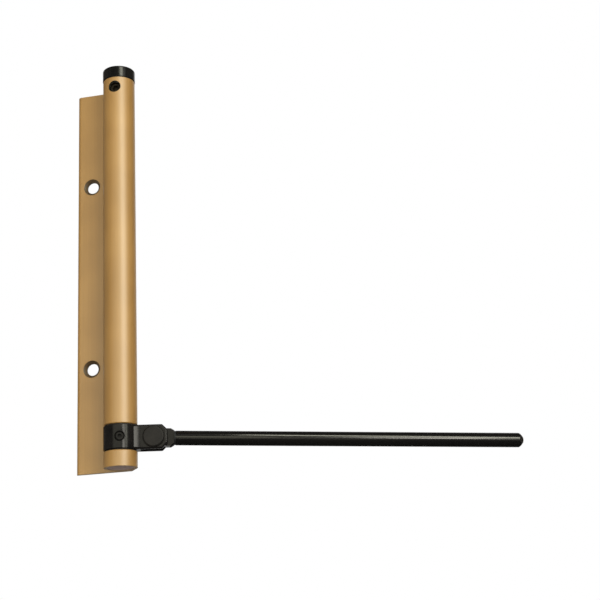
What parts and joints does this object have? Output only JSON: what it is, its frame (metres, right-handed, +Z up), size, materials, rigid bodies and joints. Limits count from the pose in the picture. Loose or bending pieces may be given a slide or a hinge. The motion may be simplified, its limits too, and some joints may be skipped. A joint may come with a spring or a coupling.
{
  "type": "tubular spring door closer",
  "caption": "Torsion spring door closer: gold aluminium tube with a screw flange, black tension cap, and a hub near the foot that swings a plain round arm.",
  "frame": {"origin": "midway between the two screw holes, on the flat back that lies on the door frame", "axes": "+Y out of the back into the mounting surface, +Z up along the tube towards the cap, +X to the right, the side the arm points to at rest"},
  "size_m": [0.2115, 0.0674, 0.2054],
  "materials": {
    "gold_anodised": "matte gold anodised",
    "grey_plastic": "plain moulded",
    "black_nylon": "plain moulded",
    "bright_steel": "turned",
    "spring_steel": "oiled spring steel",
    "black_oxide": "black oxide",
    "black_gloss": "glossy",
    "black_paint": "semi-gloss black"
  },
  "bodies": {
    "housing": {"body_extrusion": "gold_anodised", "bottom_plug": "grey_plastic", "lower_bush": "black_nylon", "upper_bush": "black_nylon", "thrust_washer": "black_nylon", "torsion_spring": "spring_steel"},
    "hub": {"hub_bracket": "black_paint", "hub_set_screw": "black_oxide", "spindle": "bright_steel", "spindle_clip": "spring_steel", "pivot_pin": "black_oxide", "pivot_washer_front": "black_nylon", "pivot_washer_rear": "black_nylon", "pivot_clip": "spring_steel"},
    "arm": {"arm_knuckle": "black_paint", "arm_rod": "black_paint", "rod_cross_pin": "spring_steel"},
    "adjuster": {"tension_adjuster": "bright_steel", "tension_cap": "black_gloss"},
    "lock": {"lock_screw": "black_oxide"}
  },
  "joints": [
    {"name": "arm_swing", "type": "hinge", "parent": "housing", "child": "hub", "pos_m": [0.0182, -0.0115, -0.08565], "axis": [0, 0, -1], "range_deg": [0, 180], "stiffness_Nm_per_rad": 0.23, "deforming": ["torsion_spring"]},
    {"name": "arm_fold", "type": "hinge", "parent": "hub", "child": "arm", "pos_m": [0.03312, -0.00694, -0.08565], "axis": [0.2924, -0.9563, 0], "range_deg": [-85, 90]},
    {"name": "tension_adjust", "type": "hinge", "parent": "housing", "child": "adjuster", "pos_m": [0.0182, -0.0115, 0.0995], "axis": [0, 0, 1], "range_deg": [0, 360], "deforming": ["torsion_spring"]},
    {"name": "lock_travel", "type": "slide", "parent": "adjuster", "child": "lock", "axis": [0.0523, -0.9986, 0], "range_m": [0, 0.002]}
  ]
}
